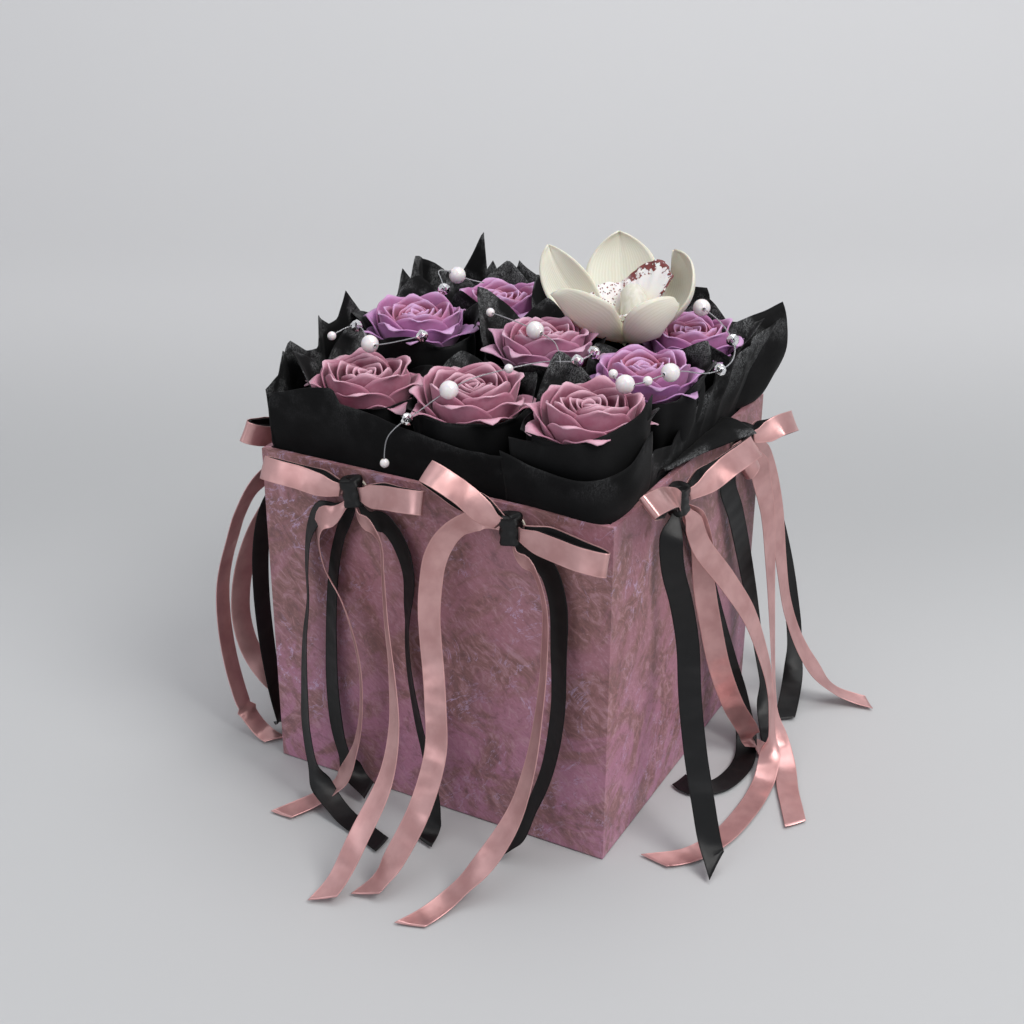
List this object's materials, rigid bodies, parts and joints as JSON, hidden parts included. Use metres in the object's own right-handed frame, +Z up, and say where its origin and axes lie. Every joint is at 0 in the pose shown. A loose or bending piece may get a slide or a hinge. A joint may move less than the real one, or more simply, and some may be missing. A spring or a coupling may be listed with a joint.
{
  "type": "flower box",
  "caption": "Square paper-covered box of soap roses and an orchid in gathered black wraps, with two-colour ribbon bows round the rim and bead garlands over the flowers.",
  "frame": {"origin": "middle of the underside of the box, on the surface it stands on", "axes": "+X to the right along the front wall, +Y from the front wall to the back wall, +Z up"},
  "size_m": [0.2929, 0.3446, 0.2364],
  "materials": {
    "greyboard": "raw grey board, 2 mm, covered inside and out",
    "base_paper": "matt black paper under the base",
    "marbled_paper": "printed marbled paper in mauve, rose and grey-brown with pale lilac veins, soft satin coating",
    "black_paper": "matt black lining paper",
    "floral_foam": "rigid dark green open-pored foam",
    "pick_plastic": "green moulded pick",
    "calyx_plastic": "green moulded calyx cup",
    "rose_pink": "soap petals, matt dusty pink with paler edges",
    "rose_violet": "soap petals, matt pink heart shading to violet outer petals",
    "orchid_ivory": "ivory petals with fine lengthwise veins",
    "orchid_lip": "white lip with burgundy blotches",
    "orchid_column": "pale yellow-white column",
    "black_nonwoven": "thin black nonwoven wrapping sheet, fibres visible where it is single",
    "rose_satin": "rose-gold satin ribbon with fine selvedges",
    "black_satin": "black satin ribbon",
    "adhesive": "clear-white glue dot",
    "clear_line": "clear nylon line",
    "pearl": "white imitation pearl with a soft lustre",
    "crystal": "clear faceted bead"
  },
  "bodies": {
    "root": {"adhesive_dots": "adhesive", "base_sheet": "base_paper", "board_back": "greyboard", "board_base": "greyboard", "board_front": "greyboard", "board_left": "greyboard", "board_right": "greyboard", "bow_back_left_black": "black_satin", "bow_back_left_rose": "rose_satin", "bow_back_right_black": "black_satin", "bow_back_right_rose": "rose_satin", "bow_front_left_black": "black_satin", "bow_front_left_rose": "rose_satin", "bow_front_right_black": "black_satin", "bow_front_right_rose": "rose_satin", "bow_knots": "black_satin", "bow_left_back_black": "black_satin", "bow_left_back_rose": "rose_satin", "bow_left_front_black": "black_satin", "bow_left_front_rose": "rose_satin", "bow_right_back_black": "black_satin", "bow_right_back_rose": "rose_satin", "bow_right_front_black": "black_satin", "bow_right_front_rose": "rose_satin", "calyx_cups": "calyx_plastic", "collar_back": "black_nonwoven", "collar_front": "black_nonwoven", "collar_left": "black_nonwoven", "collar_right": "black_nonwoven", "cover_paper": "marbled_paper", "flower_wraps": "black_nonwoven", "foam_block": "floral_foam", "garland_back_left_crystals": "crystal", "garland_back_left_line": "clear_line", "garland_back_left_pearls": "pearl", "garland_centre_line": "clear_line", "garland_centre_pearls": "pearl", "garland_front_crystals": "crystal", "garland_front_line": "clear_line", "garland_front_pearls": "pearl", "garland_left_crystals": "crystal", "garland_left_line": "clear_line", "garland_left_pearls": "pearl", "garland_right_crystals": "crystal", "garland_right_line": "clear_line", "garland_right_pearls": "pearl", "lining_floor": "black_paper", "lining_paper": "black_paper", "orchid_column": "orchid_column", "orchid_lip": "orchid_lip", "orchid_tepals": "orchid_ivory", "rose_back_left": "rose_violet", "rose_back_right": "rose_violet", "rose_front_centre": "rose_pink", "rose_front_left": "rose_pink", "rose_front_right": "rose_pink", "rose_middle_centre": "rose_violet", "rose_middle_left": "rose_violet", "rose_middle_right": "rose_violet", "stem_picks": "pick_plastic"}
  },
  "joints": []
}
